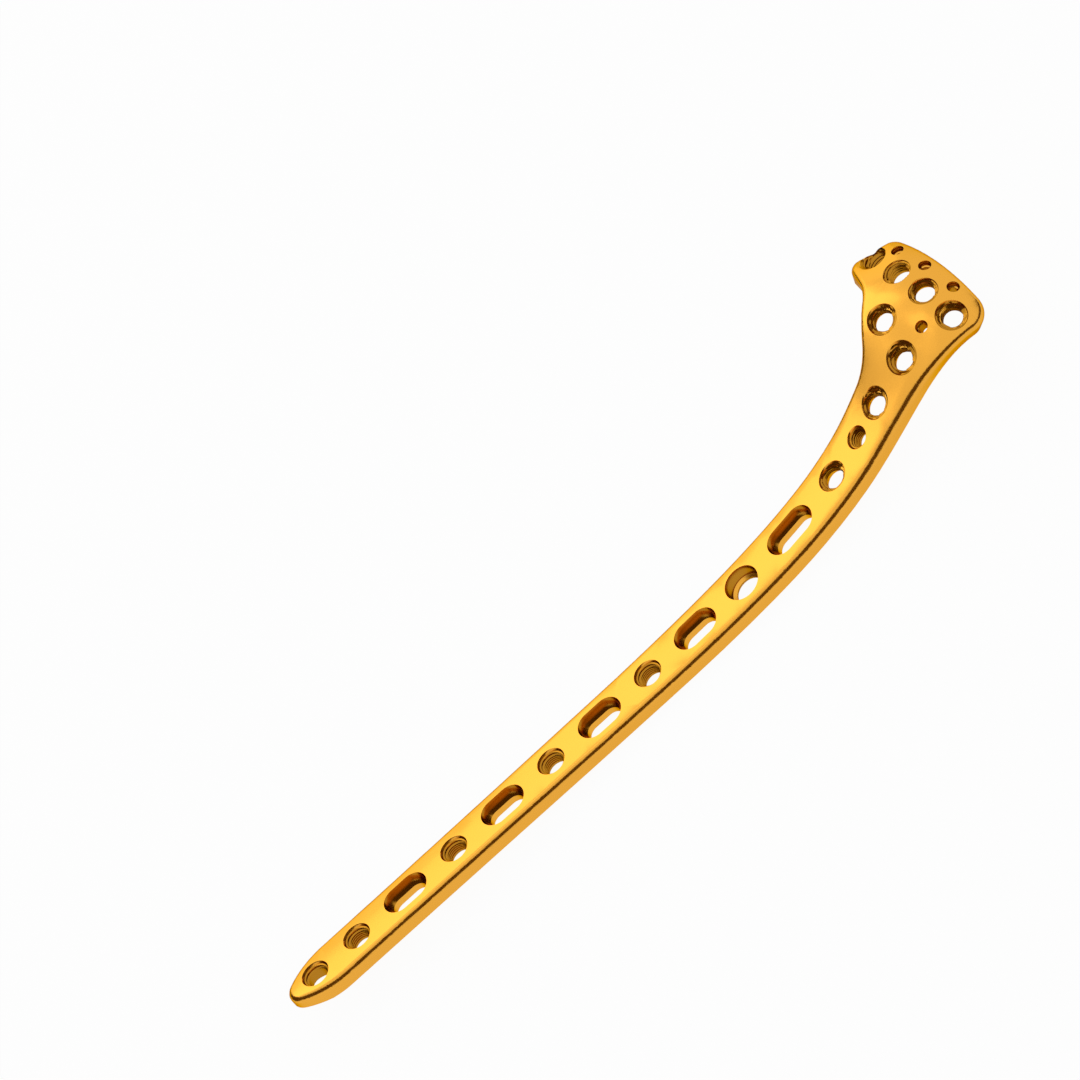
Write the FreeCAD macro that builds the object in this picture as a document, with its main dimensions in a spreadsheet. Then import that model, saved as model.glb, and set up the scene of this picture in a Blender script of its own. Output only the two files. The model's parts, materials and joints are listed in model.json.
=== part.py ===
import FreeCAD, Part
import math
import os

Vec = FreeCAD.Vector
Flat = FreeCAD.Base.Vector2d
doc = FreeCAD.newDocument("bone_plate")

# Driving dimensions, in millimetres and degrees.
# "Along" is measured down the middle of the plate from the tip, "across" to the arm's side.
sizes = doc.addObject("Spreadsheet::Sheet", "Sizes")
values = {
    "plate_thickness": 3.9,
    "top_edge_radius": 1.4,
    "under_edge_break": 0.35,
    "nose_radius": 3.4,
    "nose_side_radius": 17.4,
    "nose_length": 11.0,
    "nose_lift": 1.1,
    "nose_lift_length": 9.0,
    "lower_half_width": 6.0,
    "upper_half_width": 6.75,
    "widening_start": 90.0,
    "widening_end": 135.0,
    "widening_radius": 600.0,
    "near_waist_at": 161.0,
    "near_waist_width": 6.85,
    "near_waist_radius": 200.0,
    "head_top_at": 197.9,
    "head_top_slant": 1.6,
    "head_side_width": 8.85,
    "head_side_radius": 5.3,
    "arm_reach_top": 22.5,
    "arm_top_radius": 3.0,
    "arm_low_at": 185.3,
    "arm_reach_low": 27.2,
    "arm_low_radius": 3.3,
    "flank_high_at": 182.85,
    "flank_high_width": 16.8,
    "flank_high_radius": 8.0,
    "flank_low_at": 171.0,
    "flank_low_radius": 12.5,
    "rest_roll": -5.791,
    "rest_pitch": 2.956,
    "rest_yaw": 0.0,
    "rest_left": -97.134,
    "rest_side": -12.254,
    "rest_height": 9.073,
    "hole_pitch": 13.0,
    "tip_hole_at": 6.6,
    "first_hole_at": 17.7,
    "smooth_hole_at": 121.7,
    "long_slot_at": 135.9,
    "neck_hole_low_at": 149.6,
    "pilot_hole_at": 158.8,
    "neck_hole_high_at": 166.7,
    "throat_hole_at": 177.5,
    "throat_hole_across": -0.6,
    "shoulder_hole_at": 181.0,
    "shoulder_hole_across": 8.2,
    "row_at": 190.7,
    "row_start": -3.1,
    "row_pitch": 8.4,
    "wire_row_at": 195.5,
    "wire_row_start": 1.5,
    "wire_row_pitch": 8.4,
    "wire_single_at": 184.9,
    "wire_single_across": -0.2,
    "rim_break": 0.2,
    "rim_break_depth": 0.3,
    "rim_above": 0.6,
    "lead_depth": 1.3,
    "lead_radius": 2.55,
    "head_lead_radius": 2.8,
    "thread_radius": 2.4,
    "pilot_rim_radius": 2.45,
    "pilot_radius": 1.9,
    "wire_rim_radius": 1.4,
    "wire_lead_radius": 1.25,
    "wire_lead_depth": 1.3,
    "wire_step_depth": 1.5,
    "wire_radius": 1.0,
    "smooth_rim_radius": 3.97,
    "smooth_radius": 3.8,
    "smooth_seat_radius": 3.1,
    "smooth_seat_from": 3.1,
    "smooth_seat_to": 3.5,
    "slot_ball_radius": 3.35,
    "slot_half_width": 2.33,
    "slot_travel": 3.7,
    "long_slot_travel": 5.2,
    "cut_margin": 1.2,
}
for row, (alias, number) in enumerate(values.items(), start=1):
    sizes.set("A%d" % row, alias)
    sizes.set("B%d" % row, str(number))
    sizes.setAlias("B%d" % row, alias)

# Stations of the bent middle line: place along it, then bend away from the outer face,
# sideways turn and twist in degrees per millimetre, and the radius of the crown.
stations = [
    ("tip", 0.0, 0.0, 0.0, 0.0, 65.0),
    ("low", 40.0, 0.0, 0.0, 0.07, 65.0),
    ("shaft", 70.0, 0.0, 0.0, 0.12, 65.0),
    ("middle", 100.0, -0.125, -0.015, -0.01, 65.0),
    ("upper", 125.0, -0.126, 0.144, -0.03, 65.0),
    ("bow", 145.0, -0.38, 0.24, 0.12, 65.0),
    ("neck", 158.0, -0.9, 0.115, 0.38, 90.0),
    ("throat", 168.0, -0.24, -0.14, 0.63, 600.0),
    ("shoulder", 178.0, 1.5, -0.46, 0.42, 170.0),
    ("head", 188.0, 2.79, -0.05, 0.28, 39.5),
    ("crest", 200.0, 2.74, 0.0, 0.28, 39.5),
]
# Threaded holes: place along and across, rim radius, and lean of the bore in degrees.
locking = [
    ("hole_f", "tip_hole_at", "", 3.13, 0.0, 0.0),
    ("hole_e", "first_hole_at", "", 3.15, 0.0, 0.0),
    ("hole_d", "first_hole_at + 2 * hole_pitch", "", 3.15, 0.0, 0.0),
    ("hole_c", "first_hole_at + 4 * hole_pitch", "", 3.15, 0.0, 0.0),
    ("hole_b", "first_hole_at + 6 * hole_pitch", "", 3.15, 0.0, 0.0),
    ("neck_low", "neck_hole_low_at", "", 3.3, -7.0, 18.0),
    ("neck_high", "neck_hole_high_at", "", 3.42, -18.0, 17.0),
    ("throat", "throat_hole_at", "throat_hole_across", 3.65, -14.0, 7.0),
    ("shoulder", "shoulder_hole_at", "shoulder_hole_across", 3.5, -8.0, 13.0),
    ("row_one", "row_at", "row_start", 3.55, 8.0, 2.0),
    ("row_two", "row_at", "row_start + row_pitch", 3.3, 7.0, 12.0),
    ("row_three", "row_at", "row_start + 2 * row_pitch", 3.13, 5.0, 6.0),
    ("row_four", "row_at", "row_start + 3 * row_pitch", 3.0, 4.0, 2.0),
]
columns = ("at", "bend", "turn", "twist", "crown")
first_row = len(values) + 2
for step, station in enumerate(stations):
    for place, column in enumerate(columns):
        cell = "B%d" % (first_row + step * len(columns) + place)
        sizes.set(cell, str(station[place + 1]))
        sizes.setAlias(cell, "%s_%s" % (station[0], column))
for step, hole in enumerate(locking):
    for place, column in enumerate(("rim", "lean_along", "lean_across")):
        cell = "C%d" % (1 + step * 3 + place)
        sizes.set(cell, str(hole[place + 3]))
        sizes.setAlias(cell, "%s_%s" % (hole[0], column))
doc.recompute()


def size(alias):
    return float(sizes.get(alias))


# The bent sheet
def station_rate(column, along):
    places = [size(name[0] + "_at") for name in stations]
    rates = [size(name[0] + "_" + column) for name in stations]
    if column == "crown":
        rates = [1.0 / rate for rate in rates]
    for low in range(len(places) - 1):
        if along <= places[low + 1]:
            share = (along - places[low]) / (places[low + 1] - places[low])
            share = max(share, 0.0)
            return rates[low] + share * (rates[low + 1] - rates[low])
    return rates[-1]


fine = 0.5
before_tip = 4
last_step = int((size("head_top_at") + 10.0) / fine)
frames = {0: (Vec(), FreeCAD.Rotation())}


def step_turn(along):
    rates = Vec(
        station_rate("twist", along), station_rate("bend", along), station_rate("turn", along)
    )
    return FreeCAD.Rotation(rates, rates.Length * fine) if rates.Length > 1e-9 else FreeCAD.Rotation()


for index in range(last_step):
    point, turn = frames[index]
    next_turn = turn.multiply(step_turn(index * fine))
    ahead = turn.multVec(Vec(1, 0, 0)) + next_turn.multVec(Vec(1, 0, 0))
    frames[index + 1] = (point + ahead * (fine / 2), next_turn)
for index in range(0, -before_tip, -1):
    point, turn = frames[index]
    frames[index - 1] = (point - turn.multVec(Vec(fine, 0, 0)), turn)


def sheet_point(along, across, depth=0.0):
    index = int(math.floor(along / fine))
    share = along / fine - index
    point_a, turn_a = frames[index]
    point_b, turn_b = frames[index + 1]
    middle = point_a + (point_b - point_a) * share
    turn = turn_a.slerp(turn_b, share)
    crown = station_rate("crown", along)
    sideways = math.sin(crown * across) / crown
    fall = (1.0 - math.cos(crown * across)) / crown
    return middle + turn.multVec(Vec(0.0, sideways, -fall)) - depth * turn.multVec(
        Vec(0.0, math.sin(crown * across), math.cos(crown * across))
    )


def sheet_seat(along, across, depth=0.0):
    ahead = sheet_point(along + 0.3, across) - sheet_point(along - 0.3, across)
    aside = sheet_point(along, across + 0.3) - sheet_point(along, across - 0.3)
    outward = ahead.cross(aside).normalize()
    turn = FreeCAD.Rotation(ahead, Vec(), outward, "ZXY")
    return FreeCAD.Placement(sheet_point(along, across) - outward * depth, turn)


def through_points(points, places):
    line = Part.BSplineCurve()
    line.interpolate(Points=points, Parameters=places)
    return line


# The sheet is a surface whose two parameters are the lengths along and across.
along_places = [-1.5 + 4.0 * k for k in range(52)]
across_places = [-14.0 + 4.0 * k for k in range(13)]
strips = [
    through_points([sheet_point(along, across) for along in along_places], along_places)
    for across in across_places
]
ribs = [
    through_points([strip.getPoles()[k] for strip in strips], across_places)
    for k in range(strips[0].NbPoles)
]
sheet = Part.BSplineSurface()
sheet.buildFromPolesMultsKnots(
    [rib.getPoles() for rib in ribs],
    strips[0].getMultiplicities(),
    ribs[0].getMultiplicities(),
    strips[0].getKnots(),
    ribs[0].getKnots(),
    False,
    False,
    3,
    3,
)


# The blank's outline, drawn flat
def flat_line(start, end):
    return Part.Geom2d.Line2dSegment(start, end)


def flat_arc(centre, radius, start, end):
    circle = Part.Geom2d.Circle2d(centre, radius)
    return Part.Geom2d.ArcOfCircle2d(circle, start, end)


def unit(start, end):
    step = end - start
    return step * (1.0 / step.length())


def heading(centre, point):
    return math.atan2(point.y - centre.y, point.x - centre.x)


def rounded_corner(before, corner, after, radius):
    back = unit(corner, before)
    forward = unit(corner, after)
    half = math.acos(back.x * forward.x + back.y * forward.y) / 2
    reach = radius / math.tan(half)
    start = corner + back * reach
    end = corner + forward * reach
    centre = corner + unit(Flat(0, 0), back + forward) * (radius / math.sin(half))
    angles = [heading(centre, start), heading(centre, end)]
    if back.x * forward.y - back.y * forward.x > 0:
        angles.reverse()
    if angles[1] < angles[0]:
        angles[1] += 2 * math.pi
    return start, flat_arc(centre, radius, angles[0], angles[1]), end


low_half = size("lower_half_width")
high_half = size("upper_half_width")
nose = size("nose_radius")
nose_side = size("nose_side_radius")
nose_join = size("nose_length")
top_at = size("head_top_at")

# The nose circle touches both side arcs.
offset = nose_side - low_half
nose_centre = Flat(nose_join - math.sqrt((nose_side - nose) ** 2 - offset ** 2), 0.0)
touch = heading(Flat(nose_join, offset), nose_centre)
nose_arcs = [
    flat_arc(Flat(nose_join, -offset), nose_side, 0.5 * math.pi, -touch),
    flat_arc(nose_centre, nose, -touch, touch + 2 * math.pi),
    flat_arc(Flat(nose_join, offset), nose_side, touch + 2 * math.pi, 1.5 * math.pi),
]
corners = [
    (Flat(nose_join, -low_half), 0.0),
    (Flat(size("widening_start"), -low_half), size("widening_radius")),
    (Flat(size("widening_end"), -high_half), size("widening_radius")),
    (Flat(size("near_waist_at"), -size("near_waist_width")), size("near_waist_radius")),
    (Flat(top_at, -size("head_side_width")), size("head_side_radius")),
    (Flat(top_at + size("head_top_slant"), size("arm_reach_top")), size("arm_top_radius")),
    (Flat(size("arm_low_at"), size("arm_reach_low")), size("arm_low_radius")),
    (Flat(size("flank_high_at"), size("flank_high_width")), size("flank_high_radius")),
    (Flat(size("flank_low_at"), high_half), size("flank_low_radius")),
    (Flat(size("widening_end"), high_half), size("widening_radius")),
    (Flat(size("widening_start"), low_half), size("widening_radius")),
    (Flat(nose_join, low_half), 0.0),
]
outline = []
last_point = corners[0][0]
for before, corner, after in zip(corners, corners[1:], corners[2:]):
    start, arc, end = rounded_corner(before[0], corner[0], after[0], corner[1])
    outline += [flat_line(last_point, start), arc]
    last_point = end
outline += [flat_line(last_point, corners[-1][0])] + nose_arcs
rim = Part.Wire([curve.toShape(sheet) for curve in outline])
face = Part.Face(sheet, rim)
face.validate()
top_face = doc.addObject("Part::Feature", "TopFace")
top_face.Shape = face
thickness = size("plate_thickness")
slab = doc.addObject("Part::Feature", "Slab")
slab.Shape = face.makeOffsetShape(-thickness, 1e-3, False, False, 0, 0, True)


# Rounded edges
def outer_face(shape):
    widest = sorted(shape.Faces, key=lambda side: -side.Area)[:2]
    seat = sheet_seat(60.0, 0.0)
    return sorted(widest, key=lambda side: side.distToShape(Part.Vertex(seat.Base))[0])


slab_shape = slab.Shape
slab_shape = slab_shape.makeFillet(size("top_edge_radius"), outer_face(slab_shape)[0].Edges)
slab_shape = slab_shape.makeChamfer(size("under_edge_break"), outer_face(slab_shape)[1].Edges)
rounded = doc.addObject("Part::Feature", "RoundedSlab")
rounded.Shape = slab_shape
print("rounded", rounded.Shape.isValid(), round(rounded.Shape.Volume, 1))


# Cutters
def solid(kind, name, seat, offset, **bindings):
    item = doc.addObject(kind, name)
    item.Placement = seat.multiply(offset)
    for prop, formula in bindings.items():
        item.setExpression(prop, formula)
    return item


def named(formula):
    words = []
    for word in formula.split():
        words.append("Sizes." + word if word[0].isalpha() else word)
    return " ".join(words)


def worth(formula):
    total = 0.0
    factor = 1.0
    sign = 1.0
    for word in formula.split():
        if word == "+":
            total += sign * factor
            factor, sign = 1.0, 1.0
        elif word == "-":
            total += sign * factor
            factor, sign = 1.0, -1.0
        elif word != "*":
            factor *= size(word) if word[0].isalpha() else float(word)
    return total + sign * factor if formula else 0.0


def cone(name, seat, upper, lower, upper_radius, lower_radius):
    down = FreeCAD.Placement(Vec(0, 0, -worth(lower)), FreeCAD.Rotation())
    return solid(
        "Part::Cone",
        name,
        seat,
        down,
        Radius1=named(lower_radius),
        Radius2=named(upper_radius),
        Height="%s - (%s)" % (named(lower), named(upper)),
    )


def cutter(name, parts):
    fused = doc.addObject("Part::MultiFuse", name)
    fused.Shapes = parts
    return fused


def round_hole(name, along, across, steps, lean=(0.0, 0.0)):
    seat = sheet_seat(worth(along), worth(across))
    tilt = FreeCAD.Rotation(Vec(0, 1, 0), -lean[0]).multiply(FreeCAD.Rotation(Vec(1, 0, 0), lean[1]))
    leaning = seat.multiply(FreeCAD.Placement(Vec(), tilt))
    parts = []
    for count, (straight, *step) in enumerate(steps):
        parts.append(cone("%s_step%d" % (name, count), seat if straight else leaning, *step))
    return cutter(name, parts)


bottom = "plate_thickness + cut_margin"
cutters = []
for name, along, across, *rest in locking:
    in_head = size(name + "_lean_across") != 0.0
    rim_radius = name + "_rim"
    mouth = "head_lead_radius" if in_head else "lead_radius"
    broken = rim_radius + " - rim_break"
    steps = [
        (True, "0 - rim_above", "rim_break_depth", rim_radius + " + 2 * rim_break", broken),
        (True, "rim_break_depth", "lead_depth", broken, mouth),
        (False, "rim_break_depth", bottom, "thread_radius", "thread_radius"),
    ]
    lean = (size(name + "_lean_along"), size(name + "_lean_across"))
    cutters.append(round_hole(name, along, across, steps, lean))

pilot_broken = "pilot_rim_radius - rim_break"
pilot_steps = [
    (True, "0 - rim_above", "rim_break_depth", "pilot_rim_radius + 2 * rim_break", pilot_broken),
    (True, "rim_break_depth", "lead_depth", pilot_broken, "pilot_radius"),
    (True, "lead_depth", bottom, "pilot_radius", "pilot_radius"),
]
cutters.append(round_hole("pilot", "pilot_hole_at", "", pilot_steps))

smooth_steps = [
    (True, "0 - rim_above", "rim_break_depth", "smooth_rim_radius + rim_break", "smooth_radius"),
    (True, "rim_break_depth", "smooth_seat_from", "smooth_radius", "smooth_radius"),
    (True, "smooth_seat_from", "smooth_seat_to", "smooth_radius", "smooth_seat_radius"),
    (True, "smooth_seat_to", bottom, "smooth_seat_radius", "smooth_seat_radius"),
]
cutters.append(round_hole("smooth", "smooth_hole_at", "", smooth_steps))

wire_steps = [
    (True, "0 - rim_above", "rim_break_depth", "wire_rim_radius + rim_break", "wire_lead_radius"),
    (True, "rim_break_depth", "wire_lead_depth", "wire_lead_radius", "wire_lead_radius"),
    (True, "wire_lead_depth", "wire_step_depth", "wire_lead_radius", "wire_radius"),
    (True, "wire_step_depth", bottom, "wire_radius", "wire_radius"),
]
wires = [("wire_low", "wire_single_at", "wire_single_across")]
for count in range(3):
    wires.append(("wire_%d" % count, "wire_row_at", "wire_row_start + %d * wire_row_pitch" % count))
for name, along, across in wires:
    cutters.append(round_hole(name, along, across, wire_steps))


# A slot is a ball end mill's track over a straight slot.
def slot(name, along, travel):
    seat = sheet_seat(worth(along), 0.0)
    half = worth(travel) / 2
    depth = worth(bottom)
    quarter = FreeCAD.Rotation(Vec(0, 0, 1), 90)
    back_quarter = FreeCAD.Rotation(Vec(0, 0, 1), -90)
    lying = FreeCAD.Rotation(Vec(0, 1, 0), 90)
    ball = dict(Radius="Sizes.slot_ball_radius", Angle3="180")
    post = dict(Radius="Sizes.slot_half_width", Height=named(bottom), Angle="180")
    parts = [
        solid("Part::Sphere", name + "_ball_a", seat, FreeCAD.Placement(Vec(-half, 0, 0), quarter), **ball),
        solid("Part::Sphere", name + "_ball_b", seat, FreeCAD.Placement(Vec(half, 0, 0), back_quarter), **ball),
        solid(
            "Part::Cylinder",
            name + "_track",
            seat,
            FreeCAD.Placement(Vec(-half, 0, 0), lying),
            Radius="Sizes.slot_ball_radius",
            Height=named(travel),
        ),
        solid(
            "Part::Cylinder", name + "_post_a", seat, FreeCAD.Placement(Vec(-half, 0, -depth), quarter), **post
        ),
        solid(
            "Part::Cylinder", name + "_post_b", seat, FreeCAD.Placement(Vec(half, 0, -depth), back_quarter), **post
        ),
        solid(
            "Part::Box",
            name + "_web",
            seat,
            FreeCAD.Placement(Vec(-half, -size("slot_half_width"), -depth), FreeCAD.Rotation()),
            Length=named(travel),
            Width="2 * Sizes.slot_half_width",
            Height=named(bottom),
        ),
    ]
    return cutter(name, parts)


for count in range(4):
    place = "first_hole_at + %d * hole_pitch" % (2 * count + 1)
    cutters.append(slot("slot_%d" % count, place, "slot_travel"))
cutters.append(slot("long_slot", "long_slot_at", "long_slot_travel"))

# The underside rises toward the tip.
hinge = FreeCAD.Placement(frames[0][0], frames[0][1]).multiply(
    FreeCAD.Placement(
        Vec(size("nose_lift_length"), -10.0, -thickness - 0.3),
        FreeCAD.Rotation(
            Vec(0, 1, 0), math.degrees(math.atan2(size("nose_lift") + 0.3, size("nose_lift_length")))
        ),
    )
)
cutters.append(
    solid(
        "Part::Box",
        "nose_relief",
        hinge,
        FreeCAD.Placement(Vec(-size("nose_lift_length") - 5.0, 0, -5.0), FreeCAD.Rotation()),
        Length="Sizes.nose_lift_length + 5",
        Width="20",
        Height="5",
    )
)

openings = doc.addObject("Part::Compound", "Openings")
openings.Links = cutters
plate = doc.addObject("Part::Cut", "BonePlate")
plate.Base = rounded
plate.Tool = openings
plate.Label = "bone_plate"

# The plate lies as it comes to rest on its underside.
rest_turn = FreeCAD.Rotation(size("rest_yaw"), size("rest_pitch"), size("rest_roll"))
rest_point = Vec(size("rest_left"), size("rest_side"), size("rest_height"))
plate.Placement = FreeCAD.Placement(rest_point, rest_turn)
doc.recompute()

# Every object must be up to date and hold a sound shape.
for item in doc.Objects:
    if "Invalid" in item.State or "Error" in item.State:
        raise RuntimeError("not computed: " + item.Name)
    if hasattr(item, "Shape") and (item.Shape.isNull() or not item.Shape.isValid()):
        raise RuntimeError("unsound shape: " + item.Name)
if len(plate.Shape.Solids) != 1:
    raise RuntimeError("the plate is not one solid")
box = plate.Shape.BoundBox
print("volume", round(plate.Shape.Volume, 1), "faces", len(plate.Shape.Faces))
print("box", round(box.XLength, 2), round(box.YLength, 2), round(box.ZLength, 2))

os.makedirs("parts", exist_ok=True)
plate.Shape.exportStep("parts/bone_plate.step")
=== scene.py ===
import json
import math
import bpy
from mathutils import Matrix, Vector


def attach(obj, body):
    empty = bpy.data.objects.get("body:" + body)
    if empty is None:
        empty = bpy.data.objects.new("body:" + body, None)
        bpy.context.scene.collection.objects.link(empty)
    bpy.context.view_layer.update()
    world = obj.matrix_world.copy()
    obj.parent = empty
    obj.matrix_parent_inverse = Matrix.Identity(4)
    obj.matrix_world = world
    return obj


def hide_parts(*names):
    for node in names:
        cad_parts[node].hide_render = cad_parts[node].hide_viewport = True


mm = 0.001

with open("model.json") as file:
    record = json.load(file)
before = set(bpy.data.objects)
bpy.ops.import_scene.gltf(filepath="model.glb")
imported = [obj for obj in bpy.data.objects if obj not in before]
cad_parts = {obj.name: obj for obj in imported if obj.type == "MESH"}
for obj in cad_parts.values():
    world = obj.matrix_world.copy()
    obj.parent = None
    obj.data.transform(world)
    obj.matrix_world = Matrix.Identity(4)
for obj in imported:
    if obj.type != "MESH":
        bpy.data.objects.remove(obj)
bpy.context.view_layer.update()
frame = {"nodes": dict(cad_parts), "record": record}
print("plate loaded")


def pickOnly(obj):
    bpy.ops.object.select_all(action="DESELECT")
    obj.select_set(True)
    bpy.context.view_layer.objects.active = obj


def castRay(plate, start, direction):
    found, place, normal, index = plate.ray_cast(start, direction)
    return found, place, normal


# finishes
goldLook = {
    "colour": (0.84, 0.4, 0.05),
    "grazing": (0.55, 0.36, 0.1),
    "grainScale": 900.0,
    "smoothest": 0.19,
    "roughest": 0.22,
}
# painted shade: the walls of holes and slots and the thread rings take this darker gold, which
# stands in for the shade inside the bores; the metal itself is the same gold
boreShadeLook = {
    "colour": (0.46, 0.2, 0.016),
    "grazing": (0.5, 0.3, 0.1),
    "grainScale": 1400.0,
    "smoothest": 0.16,
    "roughest": 0.24,
}
grainDetail = 3.0


def makeGrain():
    # fine satin grain, which both golds use: it varies how rough the metal is
    grain = bpy.data.node_groups.new("satinGrain", "ShaderNodeTree")
    sockets = grain.interface
    sockets.new_socket("Place", in_out="INPUT", socket_type="NodeSocketVector")
    sockets.new_socket("Scale", in_out="INPUT", socket_type="NodeSocketFloat")
    sockets.new_socket("Smoothest", in_out="INPUT", socket_type="NodeSocketFloat")
    sockets.new_socket("Roughest", in_out="INPUT", socket_type="NodeSocketFloat")
    sockets.new_socket("Roughness", in_out="OUTPUT", socket_type="NodeSocketFloat")
    given = grain.nodes.new("NodeGroupInput")
    result = grain.nodes.new("NodeGroupOutput")
    speckle = grain.nodes.new("ShaderNodeTexNoise")
    speckle.inputs["Detail"].default_value = grainDetail
    spread = grain.nodes.new("ShaderNodeMapRange")
    grain.links.new(given.outputs["Place"], speckle.inputs["Vector"])
    grain.links.new(given.outputs["Scale"], speckle.inputs["Scale"])
    grain.links.new(given.outputs["Smoothest"], spread.inputs["To Min"])
    grain.links.new(given.outputs["Roughest"], spread.inputs["To Max"])
    grain.links.new(speckle.outputs["Fac"], spread.inputs["Value"])
    grain.links.new(spread.outputs["Result"], result.inputs["Roughness"])
    return grain


def makeGold(name, look):
    gold = bpy.data.materials.new(name)
    gold.use_nodes = True
    nodes = gold.node_tree.nodes
    links = gold.node_tree.links
    shader = nodes["Principled BSDF"]
    shader.inputs["Metallic"].default_value = 1.0
    shader.inputs["Base Color"].default_value = (*look["colour"], 1.0)
    shader.inputs["Specular Tint"].default_value = (*look["grazing"], 1.0)
    coords = nodes.new("ShaderNodeTexCoord")
    grain = nodes.new("ShaderNodeGroup")
    grain.node_tree = satinGrain
    grain.inputs["Scale"].default_value = look["grainScale"]
    grain.inputs["Smoothest"].default_value = look["smoothest"]
    grain.inputs["Roughest"].default_value = look["roughest"]
    links.new(coords.outputs["Object"], grain.inputs["Place"])
    links.new(grain.outputs["Roughness"], shader.inputs["Roughness"])
    return gold


satinGrain = makeGrain()
anodisedGold = makeGold("anodisedGold", goldLook)
paintedShadeGold = makeGold("paintedShadeGold", boreShadeLook)
print("finish made")


# the plate, welded from the solid's triangles so that its curves shade smoothly,
# sizes in millimetres and angles in degrees
plateEdit = {
    "weldGap": 0.0005,
    "sharpAngle": 32.0,
    # boreWidth to wallTilt choose which faces take the painted shade of holes and slots
    "boreWidth": 9.0,
    "boreLift": 0.02,
    "slotAlong": 3.3,
    "slotAcross": 1.5,
    "slotTilt": 0.85,
    "wallTilt": 0.2,
    "shelved": ["neck_hole_high"],
    "clearSides": 72,
    "clearDrop": 4.0,
    "clearLength": 8.0,
    "clearGap": 0.02,
}
# the slot of the darker gold that carries the painted shade in the bores
paintedShadeSlot = 1  # paintedShadeGold among the plate's materials


def clearBore(plate, hole):
    # the steepest neck hole keeps a thin ledge at its lower end, which is cut away here
    axis = Vector(hole["axis"])
    middle = Vector(hole["pos_m"]) - axis * plateEdit["clearDrop"] * mm
    bpy.ops.object.select_all(action="DESELECT")
    bpy.ops.mesh.primitive_cylinder_add(
        vertices=plateEdit["clearSides"],
        radius=(hole["dims"]["r_mm"] - plateEdit["clearGap"]) * mm,
        depth=plateEdit["clearLength"] * mm,
        location=middle,
        rotation=axis.to_track_quat("Z", "Y").to_euler(),
    )
    cutter = bpy.context.object
    pickOnly(plate)
    cut = plate.modifiers.new("clear", "BOOLEAN")
    cut.operation = "DIFFERENCE"
    cut.solver = "EXACT"
    cut.object = cutter
    bpy.ops.object.modifier_apply(modifier=cut.name)
    bpy.data.objects.remove(cutter, do_unlink=True)


def makePlate(cad):
    plate = cad.copy()
    plate.data = cad.data.copy()
    plate.name = "plateBody"
    bpy.context.scene.collection.objects.link(plate)
    plate.parent = None
    plate.matrix_world = cad.matrix_world.copy()
    pickOnly(plate)
    bpy.ops.object.mode_set(mode="EDIT")
    bpy.ops.mesh.select_all(action="SELECT")
    bpy.ops.mesh.remove_doubles(threshold=plateEdit["weldGap"] * mm)
    bpy.ops.object.mode_set(mode="OBJECT")
    if plate.data.has_custom_normals:
        bpy.ops.mesh.customdata_custom_splitnormals_clear()
    for hole in frame["record"]["mounts"]:
        if hole["name"] in plateEdit["shelved"]:
            clearBore(plate, hole)
    pickOnly(plate)
    bpy.ops.object.shade_smooth_by_angle(angle=math.radians(plateEdit["sharpAngle"]))
    plate.data.materials.clear()
    plate.data.materials.append(anodisedGold)
    plate.data.materials.append(paintedShadeGold)
    return plate


def slotPart(face, openings):
    # where a face lies in a slot: its dished seat, its straight wall, or neither
    longer = plateEdit["slotAlong"] * mm
    wider = plateEdit["slotAcross"] * mm
    place = face.center
    tilt = abs(face.normal.z)
    for opening in openings:
        low, high = (Vector(corner) for corner in opening["box_m"])
        along = low.x - longer < place.x < high.x + longer
        across = low.y - wider < place.y < high.y + wider
        if along and across and tilt < plateEdit["slotTilt"]:
            straight = tilt < plateEdit["wallTilt"] and place.z < (low.z + high.z) / 2
            return "wall" if straight else "seat"
    return None


def paintBoreShade(plate):
    # painted shade: a face that looks across a narrow gap at its own plate is the wall of a
    # hole, and takes the darker gold that stands in for the shade there; so do the dished seats
    # of the slots, while their straight lower walls keep the plain gold
    openings = frame["record"]["physics"]["openings"]
    for face in plate.data.polygons:
        part = slotPart(face, openings)
        start = face.center + face.normal * plateEdit["boreLift"] * mm
        found, place, normal = castRay(plate, start, face.normal)
        bored = found and (place - start).length < plateEdit["boreWidth"] * mm
        if part == "seat" or (bored and part is None):
            face.material_index = paintedShadeSlot


plateBody = makePlate(frame["nodes"]["bone_plate"])
bpy.context.view_layer.update()
paintBoreShade(plateBody)
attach(plateBody, "root")
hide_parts("bone_plate")
print("plate welded")


# thread ridges down each locking hole, sizes in millimetres, depths from the outer face
thread = {
    "sides": 56,
    "pitch": 0.5,
    "headPitch": 0.66,
    "ridges": 6,
    "headRidges": 7,
    "tipRidges": 2,
    "firstDepth": 0.5,
    "headFirstDepth": -1.0,
    "height": 0.26,
    "flankShare": 0.3,
    "crestShare": 0.22,
    "sunk": 0.03,
    "backing": 0.14,
    "leaning": 0.05,
    "smoothAngle": 30.0,
}
# how the rings are fitted to the walls of the holes
fitting = {
    "probes": 24,
    "probeReach": 4.0,
    "probeLift": 12.0,
    "facing": 0.85,
    "reach": 4.4,
    "wallTop": 2.4,
    "wallMiddle": -2.4,
    "wallBottom": -6.4,
    "wallStep": 0.08,
    "rimGap": 0.25,
    "squash": 0.04,
}


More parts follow.
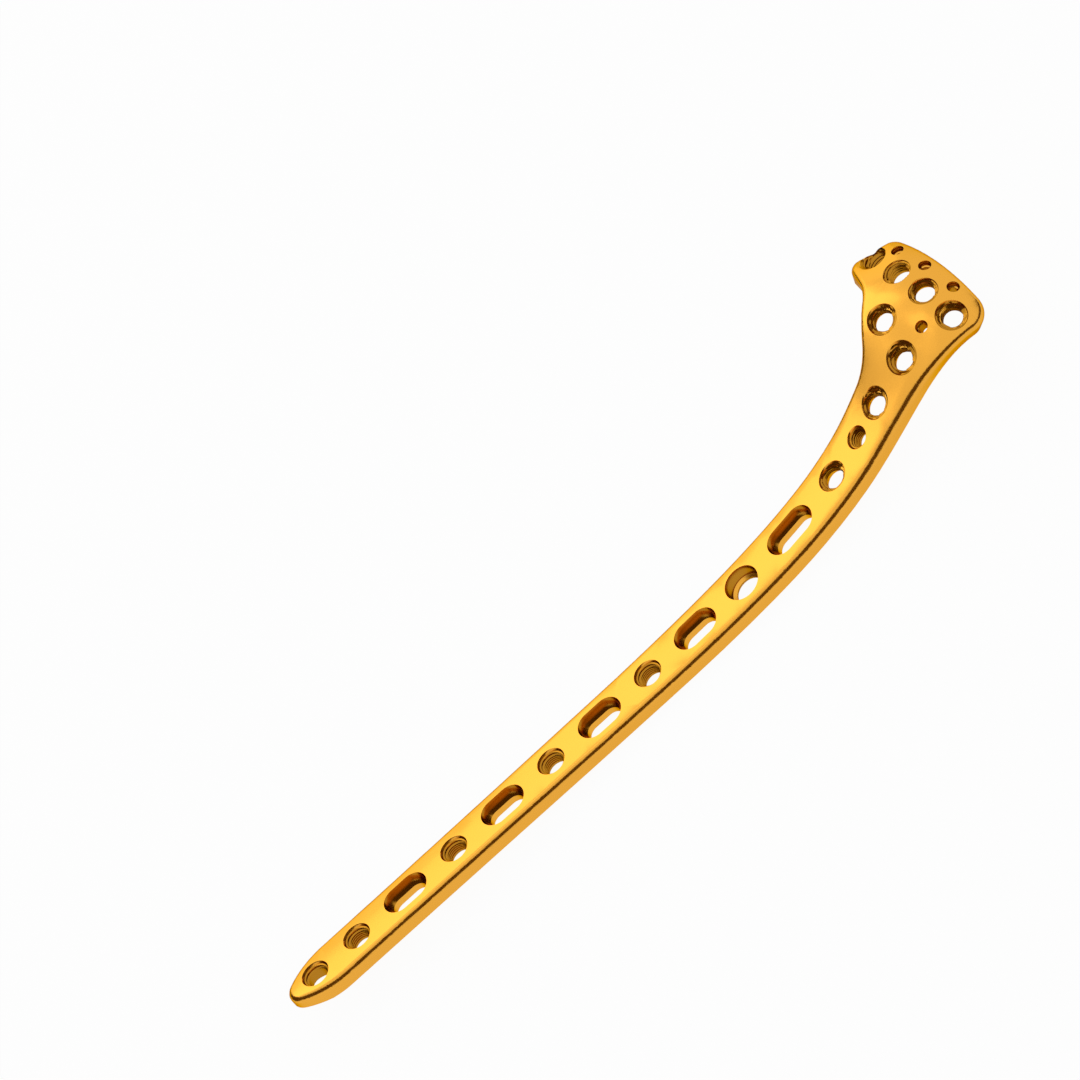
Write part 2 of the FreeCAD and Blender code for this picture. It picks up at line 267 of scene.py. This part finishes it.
def faceAround(plate, hole):
    # the outer face beside the hole, from rays cast on to the plate
    axis = Vector(hole["axis"])
    centre = Vector(hole["pos_m"])
    side = axis.orthogonal().normalized()
    normals = Vector()
    middle = Vector()
    hits = 0
    for step in range(fitting["probes"]):
        turned = Matrix.Rotation(step * math.tau / fitting["probes"], 3, axis) @ side
        start = centre + turned * fitting["probeReach"] * mm + axis * fitting["probeLift"] * mm
        found, place, normal = castRay(plate, start, -axis)
        if found and normal.dot(axis) > fitting["facing"]:
            normals += normal
            middle += place
            hits += 1
    return middle / hits, normals.normalized()


def scaleRing(factor):
    bpy.ops.transform.resize(value=(factor, factor, 1.0), center_override=(0.0, 0.0, 0.0))


def extrudeDown(drop):
    bpy.ops.mesh.extrude_region_move(TRANSFORM_OT_translate={"value": (0.0, 0.0, -drop * mm)})


def wallRadius(plate, mouth, axis, out, height):
    start = mouth + axis * height * mm
    found, place, normal = castRay(plate, start, out)
    radius = (place - start).length / mm
    return radius if found and radius < fitting["reach"] else None


def wallEnds(plate, mouth, axis, out):
    # where the wall of the hole begins and ends on this side of it
    top = fitting["wallTop"]
    while wallRadius(plate, mouth, axis, out, top) is None and top > fitting["wallMiddle"]:
        top -= fitting["wallStep"]
    bottom = fitting["wallBottom"]
    while wallRadius(plate, mouth, axis, out, bottom) is None and bottom < fitting["wallMiddle"]:
        bottom += fitting["wallStep"]
    return top - fitting["rimGap"], bottom + fitting["rimGap"]


def seatOnWall(ring, plate, mouth, axis, bore):
    # each point keeps its depth and its distance off the wall, and what would stand
    # past an end of the wall is squashed flat against it there
    turn = axis.to_track_quat("Z", "Y").to_matrix()
    ends = {}
    for point in ring.data.vertices:
        flat = Vector((point.co.x, point.co.y, 0.0))
        out = turn @ flat.normalized()
        side = round(math.atan2(flat.y, flat.x) * thread["sides"] / math.tau) % thread["sides"]
        if side not in ends:
            ends[side] = wallEnds(plate, mouth, axis, out)
        top, bottom = ends[side]
        height = point.co.z / mm
        offWall = flat.length / mm - bore
        if height > top:
            height = top + fitting["squash"] * (height - top)
            offWall = max(offWall, thread["sunk"])
        if height < bottom:
            height = bottom + fitting["squash"] * (height - bottom)
            offWall = max(offWall, thread["sunk"])
        radius = wallRadius(plate, mouth, axis, out, height) or bore
        point.co = mouth + axis * height * mm + out * (radius + offWall) * mm


def makeThread(plate, hole, number):
    bore = hole["dims"]["r_mm"]
    axis = Vector(hole["axis"])
    centre = Vector(hole["pos_m"])
    faceMiddle, faceNormal = faceAround(plate, hole)
    toFace = (faceMiddle - centre).dot(faceNormal) / axis.dot(faceNormal)
    mouth = centre + axis * toFace
    leans = axis.angle(faceNormal) > thread["leaning"]
    pitch = thread["headPitch"] if leans else thread["pitch"]
    first = thread["headFirstDepth"] if leans else thread["firstDepth"]
    ridges = thread["headRidges"] if leans else thread["ridges"]
    if hole["name"] == "locking_hole_tip":
        ridges = thread["tipRidges"]
    root = bore + thread["sunk"]
    crest = bore - thread["height"]
    back = bore + thread["backing"]
    flank = thread["flankShare"] * pitch
    flat = thread["crestShare"] * pitch

    bpy.ops.object.select_all(action="DESELECT")
    bpy.ops.mesh.primitive_circle_add(
        vertices=thread["sides"], radius=root * mm, location=(0.0, 0.0, -first * mm)
    )
    ring = bpy.context.object
    ring.name = "thread%02d" % number
    bpy.ops.object.transform_apply(location=True)
    bpy.ops.object.mode_set(mode="EDIT")
    bpy.ops.mesh.select_all(action="SELECT")
    for turn in range(ridges):
        extrudeDown(flank)
        scaleRing(crest / root)
        extrudeDown(flat)
        extrudeDown(flank)
        scaleRing(root / crest)
        extrudeDown(pitch - 2 * flank - flat)
    # the back of the ring is sunk in the plate
    extrudeDown(0.0)
    scaleRing(back / root)
    extrudeDown(-ridges * pitch)
    bpy.ops.mesh.select_all(action="DESELECT")
    bpy.ops.mesh.select_non_manifold()
    bpy.ops.mesh.bridge_edge_loops()
    bpy.ops.mesh.select_all(action="SELECT")
    bpy.ops.mesh.normals_make_consistent(inside=False)
    bpy.ops.object.mode_set(mode="OBJECT")
    seatOnWall(ring, plate, mouth, axis, bore)
    bpy.ops.object.shade_smooth_by_angle(angle=math.radians(thread["smoothAngle"]))
    # painted shade: the rings take the darker gold that stands in for the shade inside the hole
    ring.data.materials.append(paintedShadeGold)
    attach(ring, "root")


bpy.context.view_layer.update()
threadedHoles = [hole for hole in frame["record"]["mounts"] if hole["kind"] == "threaded_hole"]
for number, hole in enumerate(threadedHoles, start=1):
    makeThread(plateBody, hole, number)
print("threads made:", len(threadedHoles))


def raysThatSee(tree):
    # 1 for the camera's rays and for gloss and glass, 0 for the light that falls on things
    rays = tree.nodes.new("ShaderNodeLightPath")
    cameraOrGloss = tree.nodes.new("ShaderNodeMath")
    cameraOrGloss.operation = "MAXIMUM"
    orGlass = tree.nodes.new("ShaderNodeMath")
    orGlass.operation = "MAXIMUM"
    tree.links.new(rays.outputs["Is Camera Ray"], cameraOrGloss.inputs[0])
    tree.links.new(rays.outputs["Is Glossy Ray"], cameraOrGloss.inputs[1])
    tree.links.new(cameraOrGloss.outputs["Value"], orGlass.inputs[0])
    tree.links.new(rays.outputs["Is Transmission Ray"], orGlass.inputs[1])
    return orGlass.outputs["Value"]


# floor, white to what sees it, with a faint shadow under the plate
floorLook = {
    "size": 6.0,
    "drop": 0.1,
    "glow": 1.0,
    "glowShare": 0.95,
    "colour": (1.0, 1.0, 1.0, 1.0),
}


def makeFloor():
    bpy.ops.object.select_all(action="DESELECT")
    bpy.ops.mesh.primitive_plane_add(
        size=floorLook["size"], location=(0.0, 0.0, -floorLook["drop"] * mm)
    )
    floor = bpy.context.object
    floor.name = "studioFloor"
    white = bpy.data.materials.new("floorWhite")
    white.use_nodes = True
    tree = white.node_tree
    tree.nodes.clear()
    output = tree.nodes.new("ShaderNodeOutputMaterial")
    mixed = tree.nodes.new("ShaderNodeMixShader")
    share = tree.nodes.new("ShaderNodeMath")
    share.operation = "MULTIPLY"
    share.inputs[1].default_value = floorLook["glowShare"]
    matte = tree.nodes.new("ShaderNodeBsdfDiffuse")
    matte.inputs["Color"].default_value = floorLook["colour"]
    glow = tree.nodes.new("ShaderNodeEmission")
    glow.inputs["Strength"].default_value = floorLook["glow"]
    tree.links.new(raysThatSee(tree), share.inputs[0])
    tree.links.new(share.outputs["Value"], mixed.inputs["Fac"])
    tree.links.new(matte.outputs["BSDF"], mixed.inputs[1])
    tree.links.new(glow.outputs["Emission"], mixed.inputs[2])
    tree.links.new(mixed.outputs["Shader"], output.inputs["Surface"])
    floor.data.materials.append(white)


makeFloor()


# dark studio flags, which only the gloss sees: a hoop, high in front and under the floor
# behind, and a card beyond the wide end, sizes in metres and angles in degrees
flags = {
    "hoopSides": 64,
    "hoopRadius": 0.9,
    "hoopHalfHeight": 0.38,
    "hoopLift": 43.0,
    "hoopSwing": -45.0,
    "cardPlace": (0.88, -0.15, 0.03),
    "cardSize": 0.8,
    "colour": (1.0, 0.6, 0.2, 1.0),
    "glow": 0.1,
}


def makeFlagFinish():
    dark = bpy.data.materials.new("flagDark")
    dark.use_nodes = True
    tree = dark.node_tree
    tree.nodes.clear()
    output = tree.nodes.new("ShaderNodeOutputMaterial")
    glow = tree.nodes.new("ShaderNodeEmission")
    glow.inputs["Color"].default_value = flags["colour"]
    glow.inputs["Strength"].default_value = flags["glow"]
    tree.links.new(glow.outputs["Emission"], output.inputs["Surface"])
    return dark


def stageFlag(flag, name):
    flag.name = name
    flag.data.materials.append(flagDark)
    flag.visible_camera = False
    flag.visible_diffuse = False
    flag.visible_shadow = False


def makeHoop():
    halfHeight = flags["hoopHalfHeight"]
    bpy.ops.object.select_all(action="DESELECT")
    bpy.ops.mesh.primitive_circle_add(
        vertices=flags["hoopSides"], radius=flags["hoopRadius"], location=(0.0, 0.0, -halfHeight)
    )
    hoop = bpy.context.object
    bpy.ops.object.transform_apply(location=True)
    bpy.ops.object.mode_set(mode="EDIT")
    bpy.ops.mesh.select_all(action="SELECT")
    bpy.ops.mesh.extrude_region_move(
        TRANSFORM_OT_translate={"value": (0.0, 0.0, 2 * halfHeight)}
    )
    bpy.ops.object.mode_set(mode="OBJECT")
    lift = -math.radians(flags["hoopLift"])
    swing = math.radians(flags["hoopSwing"])
    hoop.rotation_euler = (lift, 0.0, swing)
    bpy.ops.object.transform_apply(rotation=True)
    stageFlag(hoop, "studioHoop")


def makeCard():
    place = Vector(flags["cardPlace"])
    bpy.ops.object.select_all(action="DESELECT")
    bpy.ops.mesh.primitive_plane_add(
        size=flags["cardSize"], location=place, rotation=place.to_track_quat("Z", "Y").to_euler()
    )
    stageFlag(bpy.context.object, "studioCard")


flagDark = makeFlagFinish()
makeHoop()
makeCard()
print("floor and flags set")


# light: where each lamp stands, its width, height and power
lampAim = Vector((0.0, 0.0, 0.0))
lampSettings = [
    ("keyLamp", (-0.27, 0.79, 0.95), 0.84, 0.6, 1.35),
    ("backLamp", (0.0, 1.15, 0.48), 0.8, 0.6, 0.45),
    ("edgeLamp", (0.09, 0.26, 1.22), 0.36, 0.24, 0.16),
]
worldLook = {"shown": 1.0, "lit": 0.6, "colour": (1.0, 1.0, 1.0, 1.0)}


def makeLamp(name, place, width, height, power):
    lampData = bpy.data.lights.new(name, "AREA")
    lampData.shape = "RECTANGLE"
    lampData.size = width
    lampData.size_y = height
    lampData.energy = power
    lamp = bpy.data.objects.new(name, lampData)
    lamp.location = place
    lamp.rotation_euler = (lampAim - Vector(place)).to_track_quat("-Z", "Y").to_euler()
    bpy.context.scene.collection.objects.link(lamp)


def makeBackground(tree, strength):
    background = tree.nodes.new("ShaderNodeBackground")
    background.inputs["Strength"].default_value = strength
    background.inputs["Color"].default_value = worldLook["colour"]
    return background.outputs["Background"]


def makeWorld():
    world = bpy.data.worlds.new("studio")
    bpy.context.scene.world = world
    world.use_nodes = True
    tree = world.node_tree
    tree.nodes.clear()
    output = tree.nodes.new("ShaderNodeOutputWorld")
    choose = tree.nodes.new("ShaderNodeMixShader")
    tree.links.new(raysThatSee(tree), choose.inputs["Fac"])
    tree.links.new(makeBackground(tree, worldLook["lit"]), choose.inputs[1])
    tree.links.new(makeBackground(tree, worldLook["shown"]), choose.inputs[2])
    tree.links.new(choose.outputs["Shader"], output.inputs["Surface"])


for settings in lampSettings:
    makeLamp(*settings)
makeWorld()
print("lights set")

# camera, at the photograph's angle
cameraView = {
    "azimuth": 4.22,
    "elevation": 45.75,
    "roll": 47.08,
    "aim": (1.45 * mm, 13.05 * mm, 26.94 * mm),
    "distance": 0.7,
    "nearest": 0.01,
    "pixelsAcross": 1080,
    "pixelsPerMm": 5.027,
}


def makeCamera():
    azimuth = math.radians(cameraView["azimuth"])
    elevation = math.radians(cameraView["elevation"])
    back = Vector(
        (
            math.sin(azimuth) * math.cos(elevation),
            -math.cos(azimuth) * math.cos(elevation),
            math.sin(elevation),
        )
    )
    lens = bpy.data.cameras.new("photoCamera")
    lens.type = "ORTHO"
    lens.ortho_scale = cameraView["pixelsAcross"] / cameraView["pixelsPerMm"] * mm
    lens.clip_start = cameraView["nearest"]
    camera = bpy.data.objects.new("photoCamera", lens)
    turn = (-back).to_track_quat("-Z", "Y").to_matrix().to_4x4()
    roll = Matrix.Rotation(-math.radians(cameraView["roll"]), 4, "Z")
    place = Vector(cameraView["aim"]) + back * cameraView["distance"]
    camera.matrix_world = Matrix.Translation(place) @ turn @ roll
    bpy.context.scene.collection.objects.link(camera)
    bpy.context.scene.camera = camera


makeCamera()
bpy.context.scene.view_settings.view_transform = "Standard"
print("camera set")
